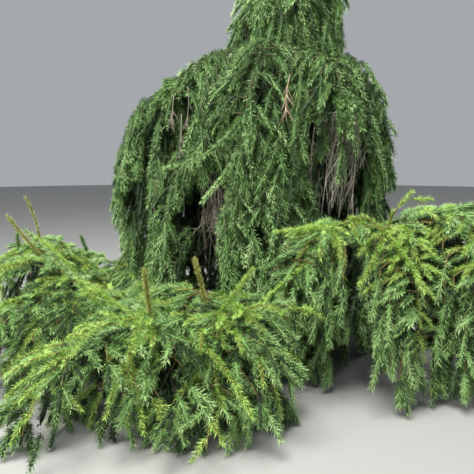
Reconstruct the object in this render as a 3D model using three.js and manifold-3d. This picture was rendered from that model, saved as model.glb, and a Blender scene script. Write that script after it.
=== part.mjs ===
// A weeping Norway spruce, about 3.2 m high. A leaning trunk carries a domed crown of hanging curtains,
// one long arm arches out low on the right with its own curtain, and four low limbs sprawl to the left
// and towards the viewer. Millimetres, +Z up, the viewer stands on the -Y side. The origin is the middle
// of the trunk's flat cut at ground level.
import * as THREE from "three";
import { mergeVertices } from "three/addons/utils/BufferGeometryUtils.js";
import Module from "manifold-3d";

const wasm = await Module();
wasm.setup();

// Trunk
const TRUNK_HEIGHT = 2880;
const TRUNK_LEAN = 230;
const TRUNK_SWAY = 35;
const TRUNK_FOOT_RADIUS = 62;
const TRUNK_TIP_RADIUS = 10;
const TRUNK_SIDES = 12;
const TRUNK_RINGS = 10;
const ROOT_FLARE = 48;
const ROOT_FLARE_HEIGHT = 95;
const ROOT_LOBES = 5;

// Boughs
const BOUGH_SIDES = 6;
const BOUGH_RINGS = 5;

// Dome of the crown: half width and half depth at the waist, and how it closes above and below
const DOME_WIDTH = 1190;
const DOME_DEPTH = 930;
const DOME_WAIST = 1300;
const DOME_CREST = 2800;
const DOME_SHIFT = -110;
const FOOT_TUCK = 0.1;

// Clearances
const JOINT_GAP = 0.3;
const FOLIAGE_GAP = 4;
const GROUND_CLEAR = 8;
const SEAM_TOLERANCE = 1.5;

// Stems and twigs of the masses
const STEM_RADIUS = 11;
const STEM_RINGS = 5;
const TWIG_RADIUS = 7;
const TWIG_FLOOR = 105;

// A spray of needles: share of its length and of its half width at each corner of one toothed edge
const SPRAY_EDGE = [[0.36, 1], [0.54, 0.58]];
const SPRAY_THICKNESS = 0.32;
const SPRAY_DROOP = 0.1;

// The dense core of a mass hangs in three skirts: where its rings lie along it, and their shares of its
// half width and half thickness
const CORE_SIDES = 4;
const CORE_STEPS = [0, 0.24, 0.33, 0.56, 0.65, 0.88, 1];
const HANGING_WIDTHS = [0.2, 0.95, 0.5, 1, 0.5, 0.85, 0.12];
const SPREADING_WIDTHS = [0.15, 0.5, 0.32, 0.85, 0.5, 1, 0.2];
const CORE_DEPTHS = [0.5, 1, 0.6, 1, 0.6, 0.9, 0.3];
const CORE_SIZES = [0.3, 0.45, 0.6, 0.7, 0.8, 0.9, 1];

const BARK = new THREE.MeshStandardMaterial({ color: 0x5b4a3d, roughness: 0.95, metalness: 0 });
const DEAD_WOOD = new THREE.MeshStandardMaterial({ color: 0x7d6a5c, roughness: 0.95, metalness: 0 });
const CROWN_GREEN = new THREE.MeshStandardMaterial({ color: 0x3f5e33, roughness: 0.8, metalness: 0 });
const SHADE_GREEN = new THREE.MeshStandardMaterial({ color: 0x2f4a30, roughness: 0.8, metalness: 0 });
const TIP_GREEN = new THREE.MeshStandardMaterial({ color: 0x6b8f3a, roughness: 0.8, metalness: 0 });

const UP = new THREE.Vector3(0, 0, 1);
const vec = (x, y, z) => new THREE.Vector3(x, y, z);
const radians = THREE.MathUtils.degToRad;
// A level direction: 0 degrees faces the viewer, 90 points right and 180 points away
const heading = (degrees) => vec(Math.sin(radians(degrees)), -Math.cos(radians(degrees)), 0);
const offset = (point, degrees, outward, up) =>
  point.clone().addScaledVector(heading(degrees), outward).addScaledVector(UP, up);
// A cubic curve through space from its four points
const bow = (points) => new THREE.CubicBezierCurve3(...points);

// A stream of numbers from 0 to 1 that is the same on every run
function numberStream(seed) {
  let state = seed;
  return () => {
    state = (state * 16807) % 2147483647;
    return state / 2147483647;
  };
}

function trunkPoint(z) {
  const share = z / TRUNK_HEIGHT;
  return vec(TRUNK_LEAN * share ** 1.6, -TRUNK_SWAY * Math.sin(Math.PI * share), z);
}

function trunkRadius(z, angle) {
  const taperShare = (1 - z / TRUNK_HEIGHT) ** 0.85;
  const lobes = 0.65 + 0.35 * Math.cos(ROOT_LOBES * angle);
  const flare = ROOT_FLARE * Math.exp(-z / ROOT_FLARE_HEIGHT) * lobes;
  return TRUNK_TIP_RADIUS + (TRUNK_FOOT_RADIUS - TRUNK_TIP_RADIUS) * taperShare + flare;
}

// A point on the crown's outer surface at a heading and height, or on a smaller copy of it
function domePoint(degrees, z, share = 1) {
  const above = Math.max(0, (z - DOME_WAIST) / (DOME_CREST - DOME_WAIST));
  const below = Math.max(0, (DOME_WAIST - z) / DOME_WAIST);
  const girth = share * (Math.sqrt(1 - above ** 2.2) - FOOT_TUCK * below ** 2);
  const way = heading(degrees);
  const middle = trunkPoint(z).x + DOME_SHIFT;
  return vec(middle + way.x * DOME_WIDTH * girth, way.y * DOME_DEPTH * girth, z);
}

// Turns a three.js geometry into a solid
function solidOf(geometry) {
  geometry.deleteAttribute("normal");
  geometry.deleteAttribute("uv");
  const merged = mergeVertices(geometry, 1e-3);
  const corners = [];
  for (let i = 0; i < merged.index.count; i += 3) {
    const [a, b, c] = merged.index.array.slice(i, i + 3);
    if (a !== b && b !== c && a !== c) corners.push(a, b, c);
  }
  const vertProperties = merged.attributes.position.array;
  return new wasm.Manifold(new wasm.Mesh({ numProp: 3, vertProperties, triVerts: new Uint32Array(corners) }));
}

// A limb: a cylinder whose rings are carried along a curve and scaled to the limb's radius there. A flat
// one is wider along the given axis.
function taper(curve, radiusAt, sides, rings, axis = null, widthAt = radiusAt) {
  const geometry = new THREE.CylinderGeometry(1, 1, 1, sides, rings);
  const frames = [];
  let side = axis;
  for (let i = 0; i <= rings; i++) {
    const tangent = curve.getTangent(i / rings);
    side = side ? side.clone() : vec(0.31, 0.52, 0.8).cross(tangent);
    side.addScaledVector(tangent, -side.dot(tangent)).normalize();
    frames.push({ point: curve.getPoint(i / rings), wide: side, thick: tangent.clone().cross(side) });
  }
  const position = geometry.attributes.position;
  for (let i = 0; i < position.count; i++) {
    const share = position.getY(i) + 0.5;
    const angle = Math.atan2(position.getX(i), position.getZ(i));
    const { point, wide, thick } = frames[Math.round(share * rings)];
    const p = point.clone().addScaledVector(wide, position.getZ(i) * widthAt(share, angle));
    p.addScaledVector(thick, position.getX(i) * radiusAt(share, angle));
    position.setXYZ(i, p.x, p.y, p.z);
  }
  return solidOf(geometry);
}

// A point on a spray, given as shares of its length and of its half width
function sprayPoint({ root, way, across, length, width }, along, aside) {
  const p = root.clone().addScaledVector(way, along * length).addScaledVector(across, (aside * width) / 2);
  return p.addScaledVector(UP, -SPRAY_DROOP * length * along * along);
}

// A spray of needles: a toothed blade with a ridge on both faces, bent down a little along its length
function sprayShape(spray) {
  const left = SPRAY_EDGE.map(([along, aside]) => [along, -aside]).reverse();
  const outline = [[0, 0], ...SPRAY_EDGE, [1, 0], ...left];
  const geometry = new THREE.SphereGeometry(1, outline.length, 2);
  const ridge = spray.across.clone().cross(spray.way).multiplyScalar((SPRAY_THICKNESS * spray.width) / 2);
  const position = geometry.attributes.position;
  for (let i = 0; i < position.count; i++) {
    const onRim = position.getY(i) ** 2 < 0.5;
    const [along, aside] = onRim ? outline[(i % (outline.length + 1)) % outline.length] : [0.5, 0];
    const p = sprayPoint(spray, along, aside).addScaledVector(ridge, Math.round(position.getY(i)));
    position.setXYZ(i, p.x, p.y, p.z);
  }
  return solidOf(geometry);
}

// Least distance between two straight pieces a-b and c-d
function segmentGap(a, b, c, d) {
  const u = b.clone().sub(a);
  const v = d.clone().sub(c);
  const w = a.clone().sub(c);
  const uu = u.dot(u);
  const vv = v.dot(v);
  const uv = u.dot(v);
  const uw = u.dot(w);
  const vw = v.dot(w);
  const clamp = (x) => Math.min(1, Math.max(0, x));
  const denominator = uu * vv - uv * uv;
  let s = denominator > 1e-9 ? clamp((uv * vw - vv * uw) / denominator) : 0;
  const t = clamp((uv * s + vw) / vv);
  s = clamp((uv * t - uw) / uu);
  return w.addScaledVector(u, s).addScaledVector(v, -t).length();
}

// Everything grown so far, as round-ended bars that carry their owner's name
const taken = [];

function curveBars(curve, radiusAt, steps) {
  const bars = [];
  for (let i = 0; i < steps; i++) {
    const radius = Math.max(radiusAt(i / steps, 0), radiusAt((i + 1) / steps, 0));
    bars.push({ a: curve.getPoint(i / steps), b: curve.getPoint((i + 1) / steps), radius });
  }
  return bars;
}

function sprayBars(spray) {
  const bar = (from, to, aside) => ({
    a: sprayPoint(spray, from, aside), b: sprayPoint(spray, to, aside), radius: 0.17 * spray.width,
  });
  return [bar(0.15, 0.95, 0), bar(0.32, 0.72, 0.62), bar(0.32, 0.72, -0.62)];
}

function isFree(owner, bars, others = taken) {
  return others.every((other) => other.owner === owner || bars.every(
    (bar) => segmentGap(bar.a, bar.b, other.a, other.b) > bar.radius + other.radius + FOLIAGE_GAP,
  ));
}

function claim(owner, bars) {
  for (const bar of bars) taken.push({ owner, ...bar });
}

// Trunk and boughs. Each keeps its curve, its solid and a slightly grown copy, which is cut from
// whatever is set against it, so that the two meet face to face.
const limbs = {};

// The largest of a solid's separate bodies, with any sealed hollow filled
const largestBody = (solid) => solid.decompose().sort((a, b) => b.volume() - a.volume())[0];

function addLimb(name, host, curve, radiusAt, sides, rings) {
  const build = (extra) => taper(curve, (share, angle) => radiusAt(share, angle) + extra, sides, rings);
  const wider = build(JOINT_GAP / Math.cos(Math.PI / sides) + 0.02);
  const ahead = curve.getTangent(1).multiplyScalar(JOINT_GAP + 0.02);
  const grown = wider.add(wider.translate([ahead.x, ahead.y, ahead.z]));
  const solid = host ? largestBody(build(0).subtract(limbs[host].grown)) : build(0);
  limbs[name] = { curve, solid, grown };
  claim(name, curveBars(curve, radiusAt, rings));
}

function addTrunk() {
  const heightAt = (share) => TRUNK_HEIGHT * share ** 1.7;
  const curve = new THREE.Curve();
  curve.getPoint = (share) => trunkPoint(heightAt(share));
  curve.getTangent = () => UP.clone();
  const radiusAt = (share, angle) => trunkRadius(heightAt(share), angle);
  addLimb("trunk", null, curve, radiusAt, TRUNK_SIDES, TRUNK_RINGS);
}

function addBough(name, host, points, rootRadius, tipRadius) {
  const radiusAt = (share) => rootRadius + (tipRadius - rootRadius) * share;
  addLimb(name, host, bow(points), radiusAt, BOUGH_SIDES, BOUGH_RINGS);
}

// How each kind of mass grows. Its twigs leave the stem between first and last, reach to the side, lean
// out and fall. Each triple is the direction of a spray as shares of sideways, outward and up: of the one
// on a twig's end, of those on the stem beside the twig of that number, and of the one at the stem's tip.
// The core runs between two shares of the stem's length, with the given half width and half thickness.
const HABITS = {
  head: {
    twigs: 4, first: 0.34, last: 0.94, reach: 170, out: 35, fall: 70, length: 350, width: 150,
    end: [0.35, 0.3, -0.9], stem: { 1: [0, 0.9, 0.5], 3: [0, 0.6, -0.8] }, tip: [0, 0.3, -1],
    core: { from: 0.26, to: 0.98, halfWidth: 150, halfDepth: 55, widths: HANGING_WIDTHS },
  },
  roof: {
    twigs: 4, first: 0.4, last: 0.95, reach: 250, out: 50, fall: 100, length: 380, width: 170,
    end: [0.3, 0.35, -0.85], stem: { 1: [0, 0.7, -0.6] }, tip: [0, 0.1, -1],
    core: { from: 0.26, to: 0.98, halfWidth: 200, halfDepth: 50, widths: HANGING_WIDTHS },
  },
  curtain: {
    twigs: 4, first: 0.48, last: 0.95, reach: 210, out: 35, fall: 110, length: 380, width: 165,
    end: [0.2, 0.1, -1], stem: { 3: [0, 0.5, -0.9] }, tip: [0, 0.05, -1],
    core: { from: 0.38, to: 0.98, halfWidth: 165, halfDepth: 50, widths: HANGING_WIDTHS },
  },
  spread: {
    twigs: 4, first: 0.24, last: 0.9, reach: 190, out: 90, fall: 30, length: 330, width: 160,
    end: [0.7, 0.6, -0.4], stem: { 1: [0, 0.7, 0.7], 3: [0, 1, 0.2] }, tip: [0, 1, -0.5],
    core: { from: 0.16, to: 0.97, halfWidth: 215, halfDepth: 45, widths: SPREADING_WIDTHS },
  },
};

// Masses of foliage and of dead twigs, listed first, so that every stem has its place before any twig
const masses = [];
const stemRadius = (share) => STEM_RADIUS * (1 - 0.6 * share);

function addMass(name, host, degrees, points, material, plan) {
  const stem = bow(points);
  masses.push({ name, host, out: heading(degrees), stem, material, plan, seed: 101 + 37 * masses.length });
  claim(name, curveBars(stem, stemRadius, STEM_RINGS));
}

// Lays a spray flatter where its tip would reach into the ground
function clearOfGround(way, root, length) {
  const rise = (GROUND_CLEAR - root.z) / length + SPRAY_DROOP;
  if (way.z >= rise) return way;
  const level = vec(way.x, way.y, 0).normalize();
  return level.multiplyScalar(Math.sqrt(1 - rise * rise)).setZ(rise);
}

// Joins a mass's pieces, clears slivers off the seams and sets it against its limb
function joinMass(mass, pieces) {
  const joined = wasm.Manifold.union(pieces).simplify(SEAM_TOLERANCE);
  return largestBody(joined.subtract(limbs[mass.host].grown));
}

// The dense middle of a mass, along the outer part of its stem
function coreOf({ plan, stem, out }, size) {
  const { from, to, halfWidth, halfDepth, widths } = plan.core;
  const side = vec(-out.y, out.x, 0);
  const rings = CORE_STEPS.length - 1;
  const pick = (list, share) => list[Math.round(share * rings)];
  const along = (share) => from + (to - from) * pick(CORE_STEPS, share);
  const curve = new THREE.Curve();
  curve.getPoint = (share) => stem.getPoint(along(share));
  curve.getTangent = (share) => stem.getTangent(along(share));
  const depthAt = (share) => halfDepth * pick(CORE_DEPTHS, share);
  const widthAt = (share) => size * halfWidth * pick(widths, share);
  const bars = curveBars(curve, depthAt, rings).flatMap(({ a, b, radius }, i) => {
    const room = Math.max(0, Math.max(widthAt(i / rings), widthAt((i + 1) / rings)) - radius);
    return [-1, -0.5, 0, 0.5, 1].map((step) => ({
      a: a.clone().addScaledVector(side, step * room),
      b: b.clone().addScaledVector(side, step * room),
      radius,
    }));
  });
  return { bars, shape: () => taper(curve, depthAt, CORE_SIDES, rings, side, widthAt) };
}

// Widens every core in turn, a step at a time, for as long as its neighbours leave it room
function addCores(leafy) {
  for (const size of CORE_SIZES) {
    for (const mass of leafy) {
      const core = coreOf(mass, size);
      const others = leafy.flatMap((other) => (other === mass || !other.core ? [] : other.core.bars));
      if (isFree(mass.name, core.bars) && isFree(mass.name, core.bars, others)) mass.core = core;
    }
  }
  for (const { name, core } of leafy) {
    if (core) claim(name, core.bars);
  }
}

// Grows one mass: twigs to alternate sides of its stem, a spray on each twig's end, sprays along the
// stem and one at its tip. A twig or spray that would touch another mass or a limb is left out.
function growFoliage(mass) {
  const { name, plan, out, stem } = mass;
  const random = numberStream(mass.seed);
  const spread = (size) => size * (2 * random() - 1);
  const side = vec(-out.y, out.x, 0);
  const pieces = [taper(stem, stemRadius, 3, STEM_RINGS)];
  if (mass.core) pieces.push(mass.core.shape());

  const addSpray = (root, [aside, outward, up], turn) => {
    const loose = side.clone().multiplyScalar(aside * turn).addScaledVector(out, outward).setZ(up);
    loose.add(vec(spread(0.14), spread(0.14), spread(0.14))).normalize();
    const length = plan.length * (1 + spread(0.15));
    const width = plan.width * (1 + spread(0.12));
    const way = clearOfGround(loose, root, length);
    const across = side.clone().addScaledVector(out, spread(0.2)).addScaledVector(UP, spread(0.2));
    across.addScaledVector(way, -across.dot(way)).normalize();
    const spray = { root, way, across, length, width };
    const bars = sprayBars(spray);
    if (!isFree(name, bars)) return;
    claim(name, bars);
    pieces.push(sprayShape(spray));
  };

  for (let i = 0; i < plan.twigs; i++) {
    const share = plan.first + ((plan.last - plan.first) * i) / (plan.twigs - 1);
    const turn = i % 2 ? 1 : -1;
    const root = stem.getPoint(share);
    const reach = plan.reach * (1 + spread(0.2)) * turn;
    const end = root.clone().addScaledVector(side, reach).addScaledVector(out, plan.out);
    end.z = Math.max(root.z - plan.fall * (1 + spread(0.25)), TWIG_FLOOR);
    const twig = new THREE.LineCurve3(root, end);
    const twigRadius = (along) => TWIG_RADIUS * (1 - 0.5 * along);
    const bars = curveBars(twig, twigRadius, 1);
    if (isFree(name, bars)) {
      claim(name, bars);
      pieces.push(taper(twig, twigRadius, 3, 1));
      addSpray(twig.getPoint(0.85), plan.end, turn);
    }
    if (plan.stem[i]) addSpray(stem.getPoint(share - 0.06), plan.stem[i], turn);
  }
  addSpray(stem.getPoint(0.96), plan.tip, 1);
  return joinMass(mass, pieces);
}

// Grows one cluster of dead, leafless branchlets that hang from their stem
function growDeadTwigs(mass) {
  const { name, plan, out, stem } = mass;
  const random = numberStream(mass.seed);
  const side = vec(-out.y, out.x, 0);
  const twigRadius = (along) => 5.5 * (1 - 0.55 * along);
  const pieces = [taper(stem, stemRadius, 3, STEM_RINGS)];
  for (let i = 0; i < plan.twigs; i++) {
    const root = stem.getPoint(0.5 + (0.48 * i) / (plan.twigs - 1));
    const reach = plan.reach * (2 * random() - 1);
    const elbow = root.clone().addScaledVector(side, 0.8 * reach).addScaledVector(out, 25);
    elbow.z -= 0.2 * plan.fall;
    const end = root.clone().addScaledVector(side, reach * (0.6 + 0.6 * random()));
    end.addScaledVector(out, 40 * (random() - 0.3));
    end.z = Math.max(root.z - plan.fall * (0.7 + 0.3 * random()), TWIG_FLOOR);
    const twig = new THREE.QuadraticBezierCurve3(root, elbow, end);
    const bars = curveBars(twig, twigRadius, 2);
    if (!isFree(name, bars)) continue;
    claim(name, bars);
    pieces.push(taper(twig, twigRadius, 3, 2));
  }
  return joinMass(mass, pieces);
}

addTrunk();

// Bough that carries the crown's left shoulder
const shoulderRoot = trunkPoint(2130);
const shoulderTip = offset(shoulderRoot, -84, 900, 50);
addBough("bough_shoulder", "trunk", [
  shoulderRoot, offset(shoulderRoot, -86, 300, 150), offset(shoulderRoot, -85, 620, 160), shoulderTip,
], 17, 12);

// The arm: one bough out to its hub on the right and one on from there
const armRoot = trunkPoint(760);
const armHub = vec(790, -1120, 1100);
const armEnd = vec(1330, -1000, 1210);
addBough("bough_arm_inner", "trunk",
  [armRoot, offset(armRoot, 35, 450, 60), offset(armRoot, 35, 880, 260), armHub], 30, 18);
addBough("bough_arm_outer", "bough_arm_inner",
  [armHub, vec(960, -1120, 1170), vec(1150, -1050, 1220), armEnd], 17, 12);

// The sprawl: low limbs at stepped heights on the trunk, each out to its own hub, with the heading and the
// length of each mass that fans out from there
const SPRAWL = [
  { key: "front", degrees: -13, z: 215, reach: 1400, hub: 530, fans: [[-6, 600], [27, 640]] },
  {
    key: "front_left", degrees: -27, z: 330, reach: 1660, hub: 520,
    fans: [[-14, 500], [-42, 560], [-68, 800]],
  },
  { key: "left_front", degrees: -53, z: 264, reach: 1460, hub: 500, fans: [[-50, 800], [-76, 800]] },
  { key: "left", degrees: -82, z: 370, reach: 1450, hub: 520, fans: [[-82, 800], [-106, 800]] },
];
const FAN_STEP = 0.09;
for (const { key, degrees, z, reach, hub } of SPRAWL) {
  const root = trunkPoint(z);
  const tip = offset(root, degrees, reach, hub - z);
  addBough("bough_sprawl_" + key, "trunk",
    [root, offset(root, degrees, 0.35 * reach, 90), offset(tip, degrees, -0.35 * reach, 60), tip], 25, 14);
}

// The crown's head: shoots near the trunk's tip that rise, arch over and hang
const HEADS = [
  { key: "left", degrees: -78, z: 2880, reach: 400, crest: 3190, foot: 2700 },
  { key: "right", degrees: 76, z: 2780, reach: 460, crest: 3260, foot: 2740 },
  { key: "front", degrees: 8, z: 2730, reach: 420, crest: 3140, foot: 2690 },
  { key: "front_left", degrees: -36, z: 2670, reach: 440, crest: 3000, foot: 2660 },
  { key: "back", degrees: 180, z: 2680, reach: 430, crest: 3100, foot: 2690 },
];
for (const { key, degrees, z, reach, crest, foot } of HEADS) {
  const root = trunkPoint(z);
  addMass("head_" + key, "trunk", degrees, [
    root, offset(root, degrees, 0.4 * reach, crest - z), offset(root, degrees, 0.95 * reach, crest + 90 - z),
    offset(root, degrees, reach, foot - z),
  ], TIP_GREEN, HABITS.head);
}

// One tier of the dome: masses at the given headings that leave the trunk at stepped heights, rise a
// little, pass the crown's shoulder and hang down its outside
function addTier(name, headings, tier, material, habit) {
  headings.forEach((degrees, i) => {
    const root = trunkPoint(tier.height + tier.step * (i % 3));
    const shoulder = domePoint(degrees, tier.shoulder, tier.girth).addScaledVector(UP, tier.lift);
    const foot = domePoint(degrees, tier.foot, tier.hang);
    addMass(name + "_" + (i + 1), "trunk", degrees,
      [root, offset(root, degrees, tier.out, tier.rise), shoulder, foot], material, habit);
  });
}

const ROOF = {
  height: 2330, step: 55, out: 330, rise: 200, shoulder: 2480, girth: 1.25, lift: 100, foot: 1720, hang: 0.92,
};
const UPPER = {
  height: 1750, step: 70, out: 420, rise: 190, shoulder: 1950, girth: 0.93, lift: 150, foot: 930, hang: 0.98,
};
const LOWER = {
  height: 900, step: 70, out: 420, rise: 190, shoulder: 1150, girth: 0.95, lift: 120, foot: 220, hang: 0.98,
};
const OVER_SPRAWL = { ...LOWER, foot: 470 };
addTier("roof", [-114, -56, -10, 34, 84, 138, 192], ROOF, CROWN_GREEN, HABITS.roof);
addTier("curtain_upper", [-104, -68, -41, -13, 6, 64, 103, 150, 203], UPPER, CROWN_GREEN, HABITS.curtain);
addTier("curtain_lower", [3, 21, 58, 102, 148, 196], LOWER, SHADE_GREEN, HABITS.curtain);
addTier("curtain_low_left", [-107, -71, -36], OVER_SPRAWL, SHADE_GREEN, HABITS.curtain);
addMass("curtain_shoulder", "bough_shoulder", -84, [
  shoulderTip, offset(shoulderTip, -84, 200, 60), offset(shoulderTip, -84, 460, -50),
  offset(shoulderTip, -84, 500, -720),
], CROWN_GREEN, HABITS.curtain);

// Openings in the curtains, where dead twigs hang
const deadLeft = trunkPoint(1490);
addMass("dead_twigs_left", "trunk", -48, [
  deadLeft, offset(deadLeft, -30, 260, 120), offset(deadLeft, -40, 520, 100), offset(deadLeft, -46, 760, -20),
], DEAD_WOOD, { twigs: 8, fall: 1000, reach: 70 });
const deadRight = trunkPoint(1690);
addMass("dead_twigs_right", "trunk", 42, [
  deadRight, offset(deadRight, 42, 260, 220),
  offset(deadRight, 42, 560, 220), offset(deadRight, 42, 760, 120),
], DEAD_WOOD, { twigs: 7, fall: 760, reach: 90 });

// The arm's masses, round its hub and its end
const innerArm = limbs.bough_arm_inner.curve;
const outerArm = limbs.bough_arm_outer.curve;
addMass("arm_fall", "bough_arm_outer", 28,
  [outerArm.getPoint(0.24), vec(860, -1320, 1240), vec(930, -1490, 980), vec(940, -1500, 330)],
  TIP_GREEN, HABITS.curtain);
addMass("arm_left", "bough_arm_inner", -60,
  [innerArm.getPoint(0.9), vec(560, -1250, 1260), vec(230, -1230, 1210), vec(110, -1190, 700)],
  TIP_GREEN, HABITS.curtain);
addMass("arm_left_low", "bough_arm_inner", -20,
  [innerArm.getPoint(0.64), vec(470, -960, 1100), vec(370, -1230, 880), vec(390, -1230, 400)],
  CROWN_GREEN, HABITS.curtain);
addMass("arm_end", "bough_arm_outer", 88,
  [outerArm.getPoint(1), vec(1500, -990, 1290), vec(1690, -960, 1130), vec(1740, -930, 640)],
  TIP_GREEN, HABITS.curtain);
addMass("arm_end_front", "bough_arm_outer", 20,
  [outerArm.getPoint(0.88), vec(1300, -1210, 1290), vec(1400, -1400, 1000), vec(1440, -1430, 480)],
  TIP_GREEN, HABITS.curtain);
addMass("arm_end_back", "bough_arm_outer", 160,
  [outerArm.getPoint(0.7), vec(1170, -800, 1250), vec(1290, -640, 1000), vec(1330, -600, 420)],
  CROWN_GREEN, HABITS.curtain);

// The sprawl's masses: one that lies over each low limb and those that fan out from its hub
for (const { key, degrees, fans } of SPRAWL) {
  const host = "bough_sprawl_" + key;
  const limb = limbs[host].curve;
  const start = limb.getPoint(0.5);
  addMass("sprawl_" + key + "_inner", host, degrees, [
    start, offset(start, degrees, 120, 190),
    offset(start, degrees, 380, 210), offset(start, degrees, 600, 130),
  ], TIP_GREEN, HABITS.spread);
  fans.forEach(([fan, length], i) => {
    const root = limb.getPoint(1 - FAN_STEP * i);
    addMass("sprawl_" + key + "_" + (i + 1), host, fan, [
      root, offset(root, fan, 0.26 * length, 150), offset(root, fan, 0.75 * length, 140),
      offset(root, fan, length, 150 - root.z),
    ], TIP_GREEN, HABITS.spread);
  });
}

const tree = new THREE.Group();

function addMesh(name, solid, material) {
  const { numProp, vertProperties, triVerts } = solid.getMesh();
  const geometry = new THREE.BufferGeometry();
  geometry.setAttribute("position", new THREE.BufferAttribute(vertProperties, numProp));
  geometry.setIndex(new THREE.BufferAttribute(triVerts, 1));
  geometry.computeVertexNormals();
  const mesh = new THREE.Mesh(geometry, material);
  mesh.name = name;
  tree.add(mesh);
}

for (const [name, limb] of Object.entries(limbs)) addMesh(name, limb.solid, BARK);
const [leafy, leafless] = [masses.filter(({ plan }) => plan.core), masses.filter(({ plan }) => !plan.core)];
for (const mass of leafless) addMesh(mass.name, growDeadTwigs(mass), mass.material);
addCores(leafy);
for (const mass of leafy) addMesh(mass.name, growFoliage(mass), mass.material);

export default tree;
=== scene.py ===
import math

import bmesh
import bpy
import numpy as np
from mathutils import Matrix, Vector, noise


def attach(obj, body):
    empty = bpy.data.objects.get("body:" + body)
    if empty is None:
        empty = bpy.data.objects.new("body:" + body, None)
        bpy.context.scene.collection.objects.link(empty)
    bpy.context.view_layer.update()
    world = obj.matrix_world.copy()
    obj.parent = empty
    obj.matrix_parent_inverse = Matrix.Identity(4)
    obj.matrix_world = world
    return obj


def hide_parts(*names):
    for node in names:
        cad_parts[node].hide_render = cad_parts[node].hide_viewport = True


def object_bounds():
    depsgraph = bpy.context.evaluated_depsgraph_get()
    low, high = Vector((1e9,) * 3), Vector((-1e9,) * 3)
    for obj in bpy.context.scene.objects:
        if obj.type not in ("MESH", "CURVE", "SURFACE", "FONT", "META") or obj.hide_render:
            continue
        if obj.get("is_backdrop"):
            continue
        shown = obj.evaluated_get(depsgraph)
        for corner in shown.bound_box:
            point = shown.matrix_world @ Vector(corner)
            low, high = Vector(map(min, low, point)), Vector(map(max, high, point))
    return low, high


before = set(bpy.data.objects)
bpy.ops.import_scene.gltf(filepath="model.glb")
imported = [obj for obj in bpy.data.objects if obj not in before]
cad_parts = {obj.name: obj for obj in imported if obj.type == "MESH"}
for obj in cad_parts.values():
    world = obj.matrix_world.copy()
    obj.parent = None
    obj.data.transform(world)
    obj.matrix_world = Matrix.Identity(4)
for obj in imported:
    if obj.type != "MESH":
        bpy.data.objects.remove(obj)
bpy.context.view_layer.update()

# The trunk: one stem that leans to the right, in grey-brown scaly bark. It flares over the roots, is cut
# flat at the soil and thins to a leader that ends inside the head of the crown.
UP = Vector((0, 0, 1))
ASLANT = (0.31, 0.52, 0.8)
TRUNK_HEIGHT = 2.88
TRUNK_LEAN = 0.23
TRUNK_BOW = 0.035
LEADER_RADIUS = 0.010
STEM_RADIUS = 0.052
FLARE_RADIUS = 0.048
FLARE_HEIGHT = 0.095


def heading(degrees):
    """A level direction: 0 faces the viewer, 90 points right and 180 points away."""
    turn = math.radians(degrees)
    return Vector((math.sin(turn), -math.cos(turn), 0))


def trunk_point(z):
    share = z / TRUNK_HEIGHT
    return Vector((TRUNK_LEAN * share**1.6, -TRUNK_BOW * math.sin(math.pi * share), z))


def trunk_radius(z, angle):
    slimness = (1 - min(1, z / TRUNK_HEIGHT)) ** 0.85
    lobes = 0.65 + 0.35 * math.cos(5 * angle)
    return LEADER_RADIUS + STEM_RADIUS * slimness + FLARE_RADIUS * math.exp(-z / FLARE_HEIGHT) * lobes


def trunk_height(share):
    """A height on the trunk, from heights that stand closer together over the flare."""
    return TRUNK_HEIGHT * share**1.4


class Amount:
    """A number that changes over a surface. Sums and products of it add Math nodes."""

    def __init__(self, finish, socket):
        self.finish = finish
        self.socket = socket

    def _maths(self, operation, first, second):
        values = [v.socket if isinstance(v, Amount) else v for v in (first, second)]
        sockets = {0: values[0], 1: values[1]}
        made = self.finish.node("ShaderNodeMath", {"operation": operation}, sockets)
        return Amount(self.finish, made.outputs[0])

    def __add__(self, other):
        return self._maths("ADD", self, other)

    def __radd__(self, other):
        return self._maths("ADD", other, self)

    def __mul__(self, other):
        return self._maths("MULTIPLY", self, other)

    def __rmul__(self, other):
        return self._maths("MULTIPLY", other, self)


class Finish:
    """A surface finish: a Principled shader and the nodes that feed it."""

    def __init__(self, name, roughness):
        self.material = bpy.data.materials.new(name)
        self.material.use_nodes = True
        self.tree = self.material.node_tree
        self.shader = self.tree.nodes["Principled BSDF"]
        self.shader.inputs["Roughness"].default_value = roughness
        self.place = self.node("ShaderNodeTexCoord", {}, {}).outputs["Object"]

    def node(self, kind, settings, sockets):
        """One node, from its type, its settings or ramp stops, and its sockets' values or links."""
        made = self.tree.nodes.new(kind)
        stops = settings.pop("stops", None)
        for key, value in settings.items():
            setattr(made, key, value)
        if stops:
            ramp = made.color_ramp.elements
            while len(ramp) < len(stops):
                ramp.new(1)
            for element, (position, colour) in zip(ramp, stops):
                element.position = position
                element.color = (*colour, 1)
        for key, value in sockets.items():
            if isinstance(value, bpy.types.NodeSocket):
                self.tree.links.new(value, made.inputs[key])
            else:
                made.inputs[key].default_value = value
        return made

    def stretched(self, scale):
        """The place on the piece, drawn out by a scale along each axis."""
        made = self.node("ShaderNodeMapping", {}, {"Vector": self.place, "Scale": scale})
        return made.outputs["Vector"]

    def cloudy(self, place, scale, detail=3.0, roughness=0.6):
        """Uneven patches, from 0 to 1."""
        made = self.node("ShaderNodeTexNoise", {}, {
            "Vector": place, "Scale": scale, "Detail": detail, "Roughness": roughness,
        })
        return Amount(self, made.outputs["Fac"])

    def colours(self, amount, stops):
        made = self.node("ShaderNodeValToRGB", {"stops": stops}, {"Fac": amount.socket})
        self.tree.links.new(made.outputs["Color"], self.shader.inputs["Base Color"])

    def relief(self, height, depth):
        sockets = {"Strength": 1.0, "Distance": depth, "Height": height.socket}
        made = self.node("ShaderNodeBump", {}, sockets)
        self.tree.links.new(made.outputs["Normal"], self.shader.inputs["Normal"])


def shade(red, green, blue):
    """A colour as a paint card gives it, 0 to 255, turned into the light it sends back."""
    return tuple(((v / 255 + 0.055) / 1.055) ** 2.4 for v in (red, green, blue))


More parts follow.
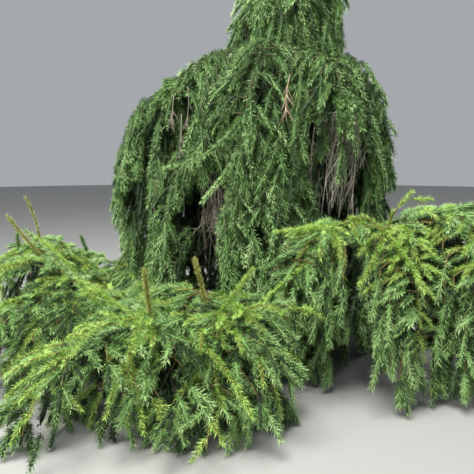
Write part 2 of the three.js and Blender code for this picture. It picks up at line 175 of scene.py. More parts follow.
SCALE_STRETCH = (1.0, 1.0, 0.28)
SCALE_DEPTH = 0.004
SCALES_AROUND = 42
SCALES_ALONG = 17
THICK_LIMB = 0.03


def bark(name, dark, middle, pale, grain):
    """Bark in long upright scales, with paler patches of lichen several scales across."""
    finish = Finish(name, 0.9)
    scales = finish.cloudy(finish.stretched(SCALE_STRETCH), grain, 5.0, 0.7)
    lichen = finish.cloudy(finish.place, grain * 0.15)
    finish.colours(scales * 0.75 + lichen * 0.25, [(0.34, dark), (0.5, middle), (0.66, pale)])
    finish.relief(scales, SCALE_DEPTH)
    return finish.material


def bark_sleeve(name, point_at, radius_at, rings, around, depth, finish, level=False):
    """A limb: a grid wrapped round the limb's line, with the bark's scales pushed out of it."""
    shape = bmesh.new()
    bmesh.ops.create_grid(shape, x_segments=rings, y_segments=around, size=1)
    lines = [point_at(i / (rings - 2)) for i in range(rings - 1)]
    lines = [lines[0], *lines, lines[-1]]
    for vertex in shape.verts:
        ring = round((vertex.co.x + 1) / 2 * rings)
        angle = (vertex.co.y + 1) * math.pi
        share = min(1, max(0, (ring - 1) / (rings - 2)))
        ahead = point_at(min(1, share + 0.01)) - point_at(max(0, share - 0.01))
        ahead = UP if level else ahead
        side = ahead.cross(Vector((0, -1, 0) if level else ASLANT)).normalized()
        face = ahead.normalized().cross(side)
        around_way = math.cos(angle) * side + math.sin(angle) * face
        radius = 0 if ring in (0, rings) else radius_at(share, angle)
        place = lines[ring] + around_way * radius
        if radius:
            spot = Vector((place.x * SCALES_AROUND, place.y * SCALES_AROUND, place.z * SCALES_ALONG))
            ridge = abs(noise.noise(spot)) * 2 - 0.6
            place += around_way * depth * ridge * min(1, radius / THICK_LIMB)
        vertex.co = place
    bmesh.ops.remove_doubles(shape, verts=shape.verts, dist=1e-5)
    bmesh.ops.recalc_face_normals(shape, faces=shape.faces)
    mesh = bpy.data.meshes.new(name)
    shape.to_mesh(mesh)
    shape.free()
    mesh.shade_smooth()
    mesh.materials.append(finish)
    limb = bpy.data.objects.new(name, mesh)
    bpy.context.scene.collection.objects.link(limb)
    return limb


trunk_bark = bark("trunk_bark", shade(48, 40, 34), shade(92, 78, 66), shade(128, 114, 100), 60)
trunk = bark_sleeve(
    "trunk_bark", lambda share: trunk_point(trunk_height(share)),
    lambda share, angle: trunk_radius(trunk_height(share), angle),
    rings=90, around=40, depth=0.004, finish=trunk_bark, level=True,
)
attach(trunk, "root")
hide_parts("trunk")

# The boughs: one that carries the crown's left shoulder, the long arm in two lengths and the four low limbs
# of the sprawl. Each is a single tapering limb in thinner, redder bark that grows out of the trunk.
limb_bark = bark("limb_bark", shade(62, 46, 36), shade(112, 90, 70), shade(150, 126, 100), 90)


def offset(point, degrees, outward, up):
    return point + heading(degrees) * outward + UP * up


def bow(points):
    """A smooth line through space from its four points."""
    a, b, c, d = points
    return lambda t: a * (1 - t) ** 3 + b * (3 * t * (1 - t) ** 2) + c * (3 * t * t * (1 - t)) + d * t**3


boughs = {}


def add_bough(name, points, root_radius, tip_radius):
    line = bow(points)
    boughs[name] = line
    limb = bark_sleeve(
        name + "_bark", line, lambda share, angle: root_radius + (tip_radius - root_radius) * share,
        rings=34, around=12, depth=0.003, finish=limb_bark,
    )
    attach(limb, "root")
    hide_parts(name)


shoulder_root = trunk_point(2.13)
shoulder_tip = offset(shoulder_root, -84, 0.9, 0.05)
add_bough("bough_shoulder", [
    shoulder_root, offset(shoulder_root, -86, 0.3, 0.15), offset(shoulder_root, -85, 0.62, 0.16),
    shoulder_tip,
], 0.017, 0.012)
arm_root = trunk_point(0.76)
arm_hub = Vector((0.79, -1.12, 1.1))
arm_end = Vector((1.33, -1.0, 1.21))
add_bough("bough_arm_inner", [
    arm_root, offset(arm_root, 35, 0.45, 0.06), offset(arm_root, 35, 0.88, 0.26), arm_hub,
], 0.030, 0.018)
add_bough("bough_arm_outer", [
    arm_hub, Vector((0.96, -1.12, 1.17)), Vector((1.15, -1.05, 1.22)), arm_end,
], 0.017, 0.012)
# each low limb's heading, height on the trunk, reach and hub height, and its fans' headings and lengths
SPRAWL = [
    ("front", -13, 0.215, 1.4, 0.53, [(-6, 0.6), (27, 0.64)]),
    ("front_left", -27, 0.33, 1.66, 0.52, [(-14, 0.5), (-42, 0.56), (-68, 0.8)]),
    ("left_front", -53, 0.264, 1.46, 0.5, [(-50, 0.8), (-76, 0.8)]),
    ("left", -82, 0.37, 1.45, 0.52, [(-82, 0.8), (-106, 0.8)]),
]
for key, degrees, height, reach, hub, _fans in SPRAWL:
    root = trunk_point(height)
    tip = offset(root, degrees, reach, hub - height)
    add_bough("bough_sprawl_" + key, [
        root, offset(root, degrees, 0.35 * reach, 0.09), offset(tip, degrees, -0.35 * reach, 0.06), tip,
    ], 0.025, 0.014)

# The stems of the foliage: every mass hangs or fans out from one thin stem, which leaves the trunk or a
# bough, arches over and runs down the outside of the crown, or out over the ground in the sprawl.
WAIST = 1.3
CREST = 2.8
CROWN_SHIFT = 0.11
CROWN_HALF_WIDTH = 1.19
CROWN_HALF_DEPTH = 0.93


def dome_point(degrees, z, share):
    """A point on the outside of the crown, or on a smaller copy of it."""
    above = max(0, (z - WAIST) / (CREST - WAIST))
    below = max(0, (WAIST - z) / WAIST)
    girth = share * (math.sqrt(1 - above**2.2) - 0.1 * below**2)
    way = heading(degrees)
    middle = trunk_point(z).x - CROWN_SHIFT
    return Vector((middle + way.x * CROWN_HALF_WIDTH * girth, way.y * CROWN_HALF_DEPTH * girth, z))


masses = []


def add_mass(name, area, degrees, points):
    masses.append((name, area, heading(degrees), bow(points)))


# the head: each mass's heading, height on the trunk and reach, and the heights of its crest and foot
for key, degrees, z, reach, crest, foot in [
    ("left", -78, 2.88, 0.4, 3.19, 2.7), ("right", 76, 2.78, 0.42, 3.26, 2.74),
    ("front", 8, 2.73, 0.42, 3.14, 2.69), ("front_left", -36, 2.67, 0.44, 3.0, 2.66),
    ("back", 180, 2.68, 0.43, 3.1, 2.69),
]:
    root = trunk_point(z)
    add_mass("head_" + key, "head", degrees, [
        root, offset(root, degrees, 0.4 * reach, crest - z),
        offset(root, degrees, 0.95 * reach, crest + 0.09 - z), offset(root, degrees, reach, foot - z),
    ])


def add_tier(name, area, headings, *, height, step, out, rise, shoulder, girth, lift, foot, hang):
    """A ring of masses that leave the trunk at one height, arch over a shoulder and hang to one foot."""
    for i, degrees in enumerate(headings):
        root = trunk_point(height + step * (i % 3))
        over = dome_point(degrees, shoulder, girth) + UP * lift
        add_mass(f"{name}_{i + 1}", area, degrees, [
            root, offset(root, degrees, out, rise), over, dome_point(degrees, foot, hang),
        ])


add_tier(
    "roof", "roof", [-114, -56, -10, 34, 84, 138, 192], height=2.33, step=0.055, out=0.33, rise=0.2,
    shoulder=2.48, girth=1.25, lift=0.1, foot=1.72, hang=0.92,
)
add_tier(
    "curtain_upper", "upper", [-104, -68, -41, -13, 6, 64, 103, 150, 203], height=1.75, step=0.07,
    out=0.42, rise=0.19, shoulder=1.95, girth=0.93, lift=0.15, foot=0.93, hang=0.98,
)
for name, headings, foot in [
    ("curtain_lower", [3, 21, 58, 102, 148, 196], 0.22), ("curtain_low_left", [-107, -71, -36], 0.47),
]:
    add_tier(
        name, "lower", headings, height=0.9, step=0.07, out=0.42, rise=0.19, shoulder=1.15,
        girth=0.95, lift=0.12, foot=foot, hang=0.98,
    )
add_mass("curtain_shoulder", "upper", -84, [
    shoulder_tip, offset(shoulder_tip, -84, 0.2, 0.05), offset(shoulder_tip, -84, 0.4, -0.14),
    offset(shoulder_tip, -84, 0.5, -0.72),
])

inner_arm = boughs["bough_arm_inner"]
outer_arm = boughs["bough_arm_outer"]
for name, degrees, root, *rest in [
    ("arm_fall", 28, outer_arm(0.24), (0.86, -1.32, 1.24), (0.93, -1.49, 0.98), (0.94, -1.5, 0.33)),
    ("arm_left", -60, inner_arm(0.9), (0.56, -1.25, 1.26), (0.23, -1.23, 1.21), (0.11, -1.19, 0.7)),
    ("arm_left_low", -20, inner_arm(0.64), (0.47, -0.96, 1.1), (0.37, -1.23, 0.88), (0.39, -1.23, 0.4)),
    ("arm_end", 88, outer_arm(1), (1.5, -0.99, 1.29), (1.69, -0.96, 1.13), (1.74, -0.93, 0.64)),
    ("arm_end_front", 20, outer_arm(0.88), (1.3, -1.21, 1.29), (1.4, -1.4, 1.0), (1.44, -1.43, 0.48)),
    ("arm_end_back", 160, outer_arm(0.7), (1.17, -0.8, 1.25), (1.29, -0.64, 1.0), (1.33, -0.6, 0.42)),
]:
    add_mass(name, "arm", degrees, [root, *(Vector(p) for p in rest)])

for key, degrees, *_, fans in SPRAWL:
    limb = boughs["bough_sprawl_" + key]
    start = limb(0.5)
    add_mass(f"sprawl_{key}_inner", "sprawl", degrees, [
        start, offset(start, degrees, 0.12, 0.19), offset(start, degrees, 0.38, 0.21),
        offset(start, degrees, 0.6, 0.13),
    ])
    for i, (fan, length) in enumerate(fans):
        root = limb(1 - 0.09 * i)
        add_mass(f"sprawl_{key}_{i + 1}", "sprawl", fan, [
            root, offset(root, fan, 0.26 * length, 0.15), offset(root, fan, 0.75 * length, 0.14),
            offset(root, fan, length, 0.15 - root.z),
        ])

# The twigs: they leave each stem to alternate sides, and from their ends hang ropes of branchlets, or level
# sprays in the sprawl, all clothed in foxtail shoots. Gaps in the curtains stay open where dead wood shows.
SOIL_GAP = 0.015
FRONT_LIMIT = -2.33
# boxes that stay open, each from its low corner to its high one
OPENINGS = [
    ((-0.6, -1.3, 0.5), (-0.35, -0.35, 1.52)), ((-0.76, -1.3, 1.62), (-0.58, -0.35, 2.12)),
    ((0.58, -1.3, 1.28), (0.82, -0.35, 1.7)), ((0.4, -1.3, 1.12), (0.6, -0.45, 1.42)),
    ((0.08, -1.3, 1.92), (0.22, -0.6, 2.16)), ((0.29, -1.3, 1.48), (0.37, -0.6, 1.82)),
    ((0.14, -2.3, 0.0), (0.5, -1.32, 0.5)), ((0.42, -1.6, 0.0), (0.7, -0.9, 0.4)),
    ((0.49, -1.6, 0.62), (0.62, -0.95, 1.03)), ((-1.22, -2.4, 0.0), (-1.0, -1.78, 0.34)),
    ((0.5, -1.8, 0.0), (0.78, -1.2, 0.3)), ((-0.7, -2.05, 0.28), (-0.52, -1.6, 0.56)),
    ((-1.1, -2.0, 0.15), (-0.93, -1.65, 0.5)), ((-1.08, -2.35, 0.32), (-0.93, -2.0, 0.6)),
]
# each kind of twig's radius at its root and at its tip
TWIG_RADII = {
    "stem": (0.008, 0.004), "branch": (0.01, 0.005), "leader": (0.006, 0.003), "twig": (0.004, 0.0025),
    "inner_twig": (0.004, 0.003), "branchlet": (0.0032, 0.0016),
}
MULTIPLIER = 16807
MODULUS = 2147483647
shoots = {}
twigs = {}


def number_stream(seed):
    """Even numbers from 0 to 1, the same ones every time for one seed."""
    state = seed
    while True:
        state = state * MULTIPLIER % MODULUS
        yield state / MODULUS


def is_open(point):
    return any(all(a < v < b for a, v, b in zip(low, point, high)) for low, high in OPENINGS)


def add_shoot(area, tone, root, way, length, droop):
    """A foxtail shoot, lifted clear of the soil, unless it would close an opening."""
    tip = root + way * length - UP * droop * length
    if tip.z < SOIL_GAP:
        root = root + UP * (SOIL_GAP - tip.z)
    if tip.y < FRONT_LIMIT or is_open(root + way * 0.6 * length - UP * 0.36 * droop * length):
        return
    shoots.setdefault((area, tone), []).append((*root, *way, length, droop))


def spaced(line, count):
    """Evenly spaced points from one end of a line to the other."""
    return [tuple(line(t / (count - 1))) for t in range(count)]


def add_twig(area, line, kind, steps=5):
    """A twig along a line. Stems and leaders, in nine steps, stay where they cross an opening."""
    if steps < 9 and (is_open(line(0.5)) or is_open(line(1))):
        return
    twigs.setdefault(area, []).append((spaced(line, steps), *TWIG_RADII[kind]))


def arch(root, middle, end):
    """A smooth line from a root to an end, drawn towards a point between them."""
    return lambda t: root * (1 - t) ** 2 + middle * (2 * t * (1 - t)) + end * t * t


def sideways(out):
    """The level direction across another one."""
    return Vector((-out.y, out.x, 0))


def pick(stream, choices):
    """One of several tones, each listed with its share."""
    draw = next(stream) * sum(share for _, share in choices)
    for tone, share in choices:
        draw -= share
        if draw <= 0:
            return tone
    return choices[-1][0]


def branchlet(
    stream, area, tones, root, way, across, face, length, droop, spacing, shoot, splay=0.16, end=0.85,
):
    """A thin branchlet with foxtail shoots to alternate sides, long near its root and short at its tip."""
    def line(t):
        return root + way * length * t - UP * droop * length * t * t

    add_twig(area, line, "branchlet", 4)
    count = max(2, round(length / spacing))
    for k in range(count):
        t = (k + 0.35 + 0.3 * next(stream)) / count
        along = (way - UP * 2 * droop * t).normalized()
        turn = 1 if k % 2 else -1
        aim = along + across * turn * (splay + 0.3 * next(stream)) + face * (0.45 * next(stream) - 0.06)
        size = shoot * (1.1 - 0.35 * t) * (0.8 + 0.4 * next(stream))
        add_shoot(area, pick(stream, tones), line(t), aim.normalized(), size, 0.16 + 0.22 * next(stream))
    aim = (way - UP * 2 * droop).normalized()
    add_shoot(area, pick(stream, tones), line(1) - aim * 0.05, aim, shoot * end, 0.05)


def clothe(stream, area, tones, line, first, last, count, shoot, lift, droop=0.3):
    """Shoots to alternate sides of a stem, so that little bare wood shows from above."""
    for k in range(count):
        share = first + (last - first) * (k + 0.7 * next(stream)) / count
        ahead = (line(min(1, share + 0.03)) - line(max(0, share - 0.03))).normalized()
        side = ahead.cross(UP).normalized() * (1 if k % 2 else -1)
        aim = ahead * (0.6 + 0.4 * next(stream)) + side * (0.65 * next(stream) - 0.05) + UP * lift
        size = shoot * (0.8 + 0.4 * next(stream))
        add_shoot(area, pick(stream, tones), line(share), aim.normalized(), size, droop)


# number of twigs, first and last share of the stem, sideways reach, outward lean, fall, and the length
# of the ropes and of their shoots
HANGING = {
    "head": (17, 0.2, 0.96, 0.25, 0.03, 0.06, 0.5, 0.2),
    "roof": (22, 0.3, 0.96, 0.46, 0.03, 0.08, 0.42, 0.22),
    "upper": (18, 0.42, 0.96, 0.4, 0.03, 0.1, 0.42, 0.215),
    "lower": (17, 0.42, 0.96, 0.42, 0.03, 0.1, 0.36, 0.21),
    "arm": (32, 0.16, 0.98, 0.34, 0.03, 0.05, 0.42, 0.19),
}
# Sprays: tones that mix at random from shoot to shoot. The light sprays are painted light, and the shady
# and darkest ones painted shade.
BRIGHT_SPRAY = [("fresh", 0.65), ("light", 0.35)]
LIT_SPRAY = [("light", 0.7), ("mid", 0.3)]
GREEN_SPRAY = [("mid", 0.66), ("light", 0.2), ("shade", 0.14)]
SHADY_SPRAY = [("shade", 0.74), ("mid", 0.18), ("deep", 0.08)]
DEEP_SHADE_SPRAY = [("deep", 1.0)]
# what covers the stem of a hanging mass, paler on the head, roof and arm as painted light and, on the arm,
# new growth, and how steeply it stands
COVER = {
    "head": LIT_SPRAY, "roof": LIT_SPRAY, "upper": GREEN_SPRAY, "lower": GREEN_SPRAY,
    "arm": BRIGHT_SPRAY,
}
COVER_LIFT = {"head": 0.1, "roof": -0.1, "upper": -0.3, "lower": -0.3, "arm": 0.35}
# the sprays that each part of the tree carries, each with its share
SPRAYS = {
    "head": [(GREEN_SPRAY, 0.45), (LIT_SPRAY, 0.4), (SHADY_SPRAY, 0.15)],
    "roof": [(GREEN_SPRAY, 0.44), (LIT_SPRAY, 0.32), (SHADY_SPRAY, 0.24)],
    "upper": [(GREEN_SPRAY, 0.42), (LIT_SPRAY, 0.34), (SHADY_SPRAY, 0.24)],
    "lower": [(GREEN_SPRAY, 0.42), (LIT_SPRAY, 0.3), (SHADY_SPRAY, 0.28)],
    "arm": [(GREEN_SPRAY, 0.36), (LIT_SPRAY, 0.46), (SHADY_SPRAY, 0.18)],
    # the top sprays of the sprawl are paler, painted light, and the under sprays darker, painted shade
    "top": [(BRIGHT_SPRAY, 0.45), (LIT_SPRAY, 0.35), (GREEN_SPRAY, 0.2)],
    "under": [(GREEN_SPRAY, 0.15), (SHADY_SPRAY, 0.5), (DEEP_SHADE_SPRAY, 0.35)],
}
# how a rope of a curtain droops, how far apart its shoots are and how far they stand out
ROPE_DROOP = 0.05
ROPE_SPACING = 0.112
ROPE_SPLAY = 0.18


def fan_out(stream, stem, out, side, count, scale):
    """The growth of one mass of the sprawl: level sprays to alternate sides and short ropes under them."""
    clothe(stream, "sprawl", BRIGHT_SPRAY, stem, 0.02, 0.98, 14, 0.17, 0.3)
    for i in range(count):
        share = 0.06 + 0.88 * (i + 0.5 * next(stream)) / count
        turn = 1 if i % 2 else -1
        root = stem(share)
        ahead = (stem(min(1, share + 0.05)) - stem(share - 0.05)).normalized()
        aim = ahead * (0.35 + 0.5 * next(stream)) + side * turn * 0.8
        aim += UP * (0.45 * next(stream) - 0.08)
        size = scale * (0.42 - 0.14 * share) * (0.6 + 0.75 * next(stream))
        aim.normalize()
        across = aim.cross(UP).normalized()
        tones = pick(stream, SPRAYS["top"])
        branchlet(stream, "sprawl", tones, root, aim, across, UP, size, 0.35, 0.1, 0.2, 0.42, 1.0)
        if i > 1 and i % 3:
            aim = out * (0.6 * next(stream) - 0.15) + side * (1.5 * next(stream) - 0.75) - UP * 0.75
            aim.normalize()
            tones = pick(stream, SPRAYS["under"])
            if share > 0.5 and tones is DEEP_SHADE_SPRAY:
                tones = SHADY_SPRAY
            drop = min(0.4, root.z - 0.05)
            branchlet(stream, "sprawl", tones, root, aim, side, out, drop, 0.1, 0.09, 0.19, 0.3)


def hang_out(stream, area, stem, out, side):
    """The growth of one hanging mass: ropes of branchlets from the ends of arched twigs."""
    count, first, last, reach, lean, fall, length, shoot = HANGING[area]
    lift = COVER_LIFT[area]
    cover = COVER[area]
    start = 0.1 if area == "roof" else first
    # on the arm the twigs stand closer towards the tip, and the ropes end higher above the soil
    crowd, foot = (0.66, 0.2) if area == "arm" else (1, 0.1)
    clothe(stream, area, cover, stem, start, 0.98, 13, 0.8 * shoot, lift, 0.6 - 0.8 * lift)
    for i in range(count):
        share = first + (last - first) * ((i + next(stream) * 0.5) / count) ** crowd
        turn = 1 if i % 2 else -1
        root = stem(share)
        wide = reach * (0.08 + 0.92 * next(stream) ** 0.8) * (0.55 + 0.45 * share)
        end = root + side * turn * wide + out * (lean * next(stream) - wide * wide * 0.42)
        end.z = root.z - fall * (wide / reach) * (0.6 + 0.8 * next(stream))
        if is_open(end - UP * 0.12):
            continue
        twig = arch(root, (root + end) / 2 + UP * 0.28 * wide, end)
        add_twig(area, twig, "twig")
        tones = pick(stream, SPRAYS[area])
        tones_here = tones if share > 0.7 else cover
        clothe(stream, area, tones_here, twig, 0.15, 0.9, 2, 0.75 * shoot, 0.6 * lift, 0.8 - lift)
        drop = min(length * (0.75 + 0.5 * next(stream)), end.z - foot)
        sway = side * turn * 0.12 * next(stream) + out * (0.2 * next(stream) - 0.05)
        way = (sway - UP).normalized()
        branchlet(
            stream, area, tones, end, way, side, out, drop, ROPE_DROOP, ROPE_SPACING, shoot, ROPE_SPLAY,
        )
    for turn in (-0.1, 0.1):
        drop = min(0.8 * length, stem(1).z - foot)
        way = (side * turn - UP).normalized()
        tones = pick(stream, SPRAYS[area])
        branchlet(
            stream, area, tones, stem(0.97), way, side, out, drop, ROPE_DROOP, ROPE_SPACING, shoot,
            ROPE_SPLAY,
        )


def hang_behind(stream, area, stem, out, side):
    """Ropes of painted shade, in the darkest green, which hang inside the crown and close it from behind.
    """
    count, longest = (9, 0.5) if area == "arm" else (7, 0.75)
    for i in range(count):
        share = 0.14 + 0.56 * (i + next(stream)) / count
        sway = side * 0.3 * (2 * next(stream) - 1) - out * 0.12 * share
        root = stem(share)
        twig = arch(root, root + side * 0.1, root + side * 0.3 * (2 * next(stream) - 1) - out * 0.06)
        add_twig(area, twig, "inner_twig")
        drop = min(longest, root.z - 0.15)
        way = (sway - UP).normalized()
        branchlet(stream, area, DEEP_SHADE_SPRAY, twig(1), way, side, out, drop, 0, 0.1, 0.25)


for index, (name, area, out, stem) in enumerate(masses):
    stream = number_stream(101 + 37 * index)
    side = sideways(out)
    add_twig(area, stem, "stem", 9)
    if area == "sprawl":
        fan_out(stream, stem, out, side, 12 if name.endswith("inner") else 15, 1.0)
    else:
        hang_out(stream, area, stem, out, side)
    if area not in ("sprawl", "head"):
        hang_behind(stream, area, stem, out, side)

# Seven more branches of the sprawl: they leave the hubs of the low limbs and fill out the far left and the
# front left corner, in the same way as the masses do.
for index, (degrees, points) in enumerate([
    (-40, [(-0.93, -1.6, 0.5), (-1.1, -1.8, 0.6), (-1.3, -2.0, 0.5), (-1.38, -2.06, 0.14)]),
    (-88, [(-1.36, -0.8, 0.54), (-1.6, -0.76, 0.84), (-1.85, -0.72, 0.94), (-2.12, -0.7, 0.6)]),
    (-110, [(-1.43, -0.21, 0.52), (-1.6, 0.1, 0.78), (-1.82, 0.3, 0.78), (-2.1, 0.42, 0.44)]),
    (-84, [(-1.43, -0.21, 0.52), (-1.66, -0.25, 0.86), (-1.96, -0.28, 0.98), (-2.28, -0.3, 0.7)]),
    (-98, [(-1.43, -0.21, 0.52), (-1.66, -0.05, 0.84), (-1.93, 0.05, 0.94), (-2.24, 0.12, 0.62)]),
    (-62, [(-1.36, -0.8, 0.54), (-1.6, -1.0, 0.68), (-1.85, -1.15, 0.66), (-2.08, -1.25, 0.36)]),
    (38, [(-0.73, -1.54, 0.5), (-0.62, -1.68, 0.42), (-0.5, -1.78, 0.36), (-0.26, -1.95, 0.26)]),
]):
    stream = number_stream(5003 + 61 * index)
    out = heading(degrees)
    stem = bow([Vector(p) for p in points])
    add_twig("sprawl", stem, "branch", 9)
    fan_out(stream, stem, out, sideways(out), 11, 0.9)

# The side branches: short branches with the same growth, straight from the low limbs, the arm and the
# shoulder bough. They clothe the wood between the hubs and the crown.
SIDE_BRANCHES = {
    # each bough's area, the share of its length where its side branches start, and their number
    "bough_shoulder": ("upper", 0.5, 15), "bough_arm_inner": ("arm", 0.45, 15),
    "bough_arm_outer": ("arm", 0.28, 12),
}
for index, (name, line) in enumerate(boughs.items()):
    stream = number_stream(7001 + 91 * index)
    area, start, count = SIDE_BRANCHES.get(name, ("sprawl", 0.28, 15))
    above, below, cover = "top", "under", BRIGHT_SPRAY
    if area == "upper":
        above, below, cover = "upper", "upper", LIT_SPRAY
    clothe(stream, area, cover, line, start, 0.98, 12, 0.18, 0.6)
    for i in range(count):
        share = start + (0.98 - start) * (i + 0.5 * next(stream)) / count
        turn = 1 if i % 2 else -1
        root = line(share)
        ahead = (line(min(1, share + 0.03)) - line(share - 0.03)).normalized()
        side = ahead.cross(UP).normalized()
        aim = (ahead * 0.6 + side * turn * 0.75 + UP * (0.1 + 0.35 * next(stream))).normalized()
        tones = pick(stream, SPRAYS[above])
        reach = 0.3 + 0.12 * next(stream)
        branchlet(stream, area, tones, root, aim, side, UP, reach, 0.45, 0.092, 0.19, 0.38)
        aim = (side * turn * 0.4 - UP).normalized()
        drop = min(0.42, root.z - 0.08)
        tones = pick(stream, SPRAYS[below])
        branchlet(stream, area, tones, root, aim, side, side * turn, drop, 0, 0.092, 0.19)

# Leading shoots: single long shoots that stand clear of the rest, over the crown's front, at the arm's left
# and up from the hubs of the sprawl. Some are full and bright, others thin, with few needles on a tan stem.
for area, kind, tone, size, points in [
    ("roof", "roof", "light", 0.15,
     [(-0.18, -0.72, 1.93), (-0.22, -0.8, 1.86), (-0.28, -0.88, 1.78), (-0.37, -0.91, 1.7)]),
    ("roof", "thin", "light", 0.11,
     [(-0.34, -0.9, 1.73), (-0.45, -0.95, 1.61), (-0.6, -0.95, 1.58), (-0.72, -0.95, 1.55)]),
    ("roof", "roof", "light", 0.15,
     [(-0.12, -0.8, 1.86), (-0.12, -0.83, 1.82), (-0.13, -0.85, 1.78), (-0.13, -0.86, 1.74)]),
    ("roof", "lead", "light", 0.11,
     [(-0.25, -0.8, 1.6), (-0.3, -0.9, 1.5), (-0.4, -0.94, 1.4), (-0.45, -0.94, 1.33)]),
    ("roof", "roof", "light", 0.12,
     [(-0.01, -0.6, 2.5), (-0.1, -0.68, 2.45), (-0.2, -0.76, 2.36), (-0.26, -0.78, 2.24)]),
    ("upper", "upper", "mid", 0.17,
     [(0.5, -0.64, 2.08), (0.52, -0.72, 2.04), (0.53, -0.76, 1.96), (0.53, -0.76, 1.86)]),
    ("upper", "upper", "light", 0.19,
     [(0.58, -0.62, 2.08), (0.6, -0.7, 2.04), (0.61, -0.74, 1.94), (0.61, -0.74, 1.8)]),
    ("upper", "upper", "mid", 0.17,
     [(0.63, -0.6, 2.08), (0.67, -0.68, 2.03), (0.69, -0.72, 1.97), (0.69, -0.72, 1.88)]),
    ("upper", "upper", "shade", 0.19,
     [(0.7, -0.56, 2.06), (0.74, -0.63, 2.0), (0.77, -0.66, 1.9), (0.77, -0.67, 1.76)]),
    ("sprawl", "lead", "dry", 0.1,
     [(-0.76, -1.5, 0.5), (-0.77, -1.5, 0.64), (-0.79, -1.5, 0.76), (-0.8, -1.5, 0.88)]),
    ("sprawl", "lead", "dry", 0.09,
     [(-0.785, -1.5, 0.72), (-0.79, -1.5, 0.82), (-0.8, -1.5, 0.85), (-0.8, -1.5, 0.89)]),
    ("sprawl", "lead", "dry", 0.08,
     [(-0.42, -1.3, 0.5), (-0.43, -1.3, 0.65), (-0.47, -1.3, 0.8), (-0.5, -1.3, 0.93)]),
    ("sprawl", "sprawl", "fresh", 0.14,
     [(-0.4, -1.5, 0.52), (-0.34, -1.5, 0.64), (-0.24, -1.5, 0.78), (-0.15, -1.5, 0.9)]),
    ("sprawl", "sprawl", "fresh", 0.15,
     [(-0.76, -1.5, 0.54), (-0.92, -1.47, 0.64), (-1.1, -1.38, 0.74), (-1.26, -1.3, 0.8)]),
    ("sprawl", "thin", "light", 0.1,
     [(-1.24, -1.3, 0.78), (-1.4, -1.2, 0.86), (-1.56, -1.1, 0.98), (-1.68, -1.1, 1.1)]),
    ("sprawl", "sprawl", "fresh", 0.15,
     [(-0.93, -1.6, 0.5), (-1.1, -1.75, 0.56), (-1.28, -1.9, 0.5), (-1.44, -2.0, 0.36)]),
    ("sprawl", "sprawl", "fresh", 0.15,
     [(-0.66, -1.5, 0.54), (-0.48, -1.56, 0.66), (-0.3, -1.6, 0.64), (-0.12, -1.6, 0.55)]),
    ("sprawl", "sprawl", "fresh", 0.15,
     [(-0.74, -1.62, 0.56), (-0.8, -1.85, 0.62), (-0.86, -2.02, 0.5), (-0.9, -2.12, 0.3)]),
    ("sprawl", "sprawl", "fresh", 0.15,
     [(-0.5, -1.75, 0.55), (-0.38, -1.95, 0.6), (-0.26, -2.08, 0.5), (-0.16, -2.16, 0.32)]),
    ("sprawl", "sprawl", "fresh", 0.14,
     [(-1.36, -0.8, 0.54), (-1.5, -0.7, 0.78), (-1.7, -0.6, 0.92), (-1.88, -0.5, 0.98)]),
    ("sprawl", "thin", "dry", 0.08,
     [(-1.9, -0.35, 0.7), (-1.88, -0.35, 0.9), (-1.9, -0.35, 1.1), (-1.99, -0.35, 1.28)]),
    ("sprawl", "lead", "dry", 0.09,
     [(-1.7, -0.5, 0.66), (-1.86, -0.48, 0.84), (-1.98, -0.45, 0.96), (-2.1, -0.45, 1.13)]),
    ("sprawl", "lead", "mid", 0.08,
     [(-2.04, -0.4, 0.7), (-2.05, -0.4, 0.8), (-2.06, -0.4, 0.88), (-2.06, -0.4, 0.98)]),
    ("sprawl", "lead", "mid", 0.08,
     [(-1.62, 0.1, 0.62), (-1.62, 0.1, 0.72), (-1.65, 0.1, 0.8), (-1.68, 0.1, 0.88)]),
    ("sprawl", "thin", "light", 0.08,
     [(-1.3, -0.5, 0.6), (-1.22, -0.5, 0.75), (-1.1, -0.5, 0.9), (-1.0, -0.5, 1.05)]),
    ("arm", "arm", "fresh", 0.15,
     [(0.5, -1.2, 1.14), (0.35, -1.22, 1.16), (0.2, -1.18, 1.14), (0.07, -1.12, 1.11)]),
    ("arm", "arm", "fresh", 0.15,
     [(0.45, -1.25, 1.05), (0.3, -1.26, 0.97), (0.13, -1.25, 0.82), (-0.03, -1.22, 0.66)]),
    ("arm", "arm", "fresh", 0.15,
     [(0.75, -1.14, 1.16), (0.6, -1.18, 1.26), (0.45, -1.2, 1.16), (0.3, -1.2, 1.0)]),
    ("arm", "arm", "fresh", 0.15,
     [(0.8, -1.14, 1.12), (0.86, -1.18, 1.4), (1.02, -1.2, 1.42), (1.12, -1.2, 1.16)]),
    ("arm", "arm", "fresh", 0.16,
     [(0.66, -1.3, 1.2), (0.74, -1.42, 1.14), (0.83, -1.52, 1.0), (0.9, -1.56, 0.84)]),
    ("arm", "arm", "fresh", 0.15,
     [(0.72, -1.38, 1.12), (0.66, -1.5, 1.06), (0.6, -1.55, 0.97), (0.55, -1.55, 0.88)]),
]:
    line = bow([Vector(p) for p in points])
    add_twig(area, line, "leader", 9)
    length = (line(1) - line(0)).length
    count = max(3, round(length / (0.55 * size)))
    for k in range(count):
        t = k / count
        ahead = (line(min(1, t + 0.06)) - line(t)).normalized()
        shoots.setdefault((kind, tone), []).append((*line(t), *ahead, size * (1 - 0.15 * t), 0.0))

# The dead twigs: bare brown and grey branchlets that hang in the crown's openings, where the foliage has
# died back in the shade. Two stems carry most of them, and short single strands hang beside those.
dead_lines = {}
# the radius of each kind at its root and at its tip
DEAD_STEM = (0.012, 0.006)
DEAD_STRAND = (0.003, 0.0014)
DEAD_STRAY = (0.0024, 0.0014)
FRONT_STRAND = (0.0034, 0.0018)
FRONT_STRAY = (0.0024, 0.0013)
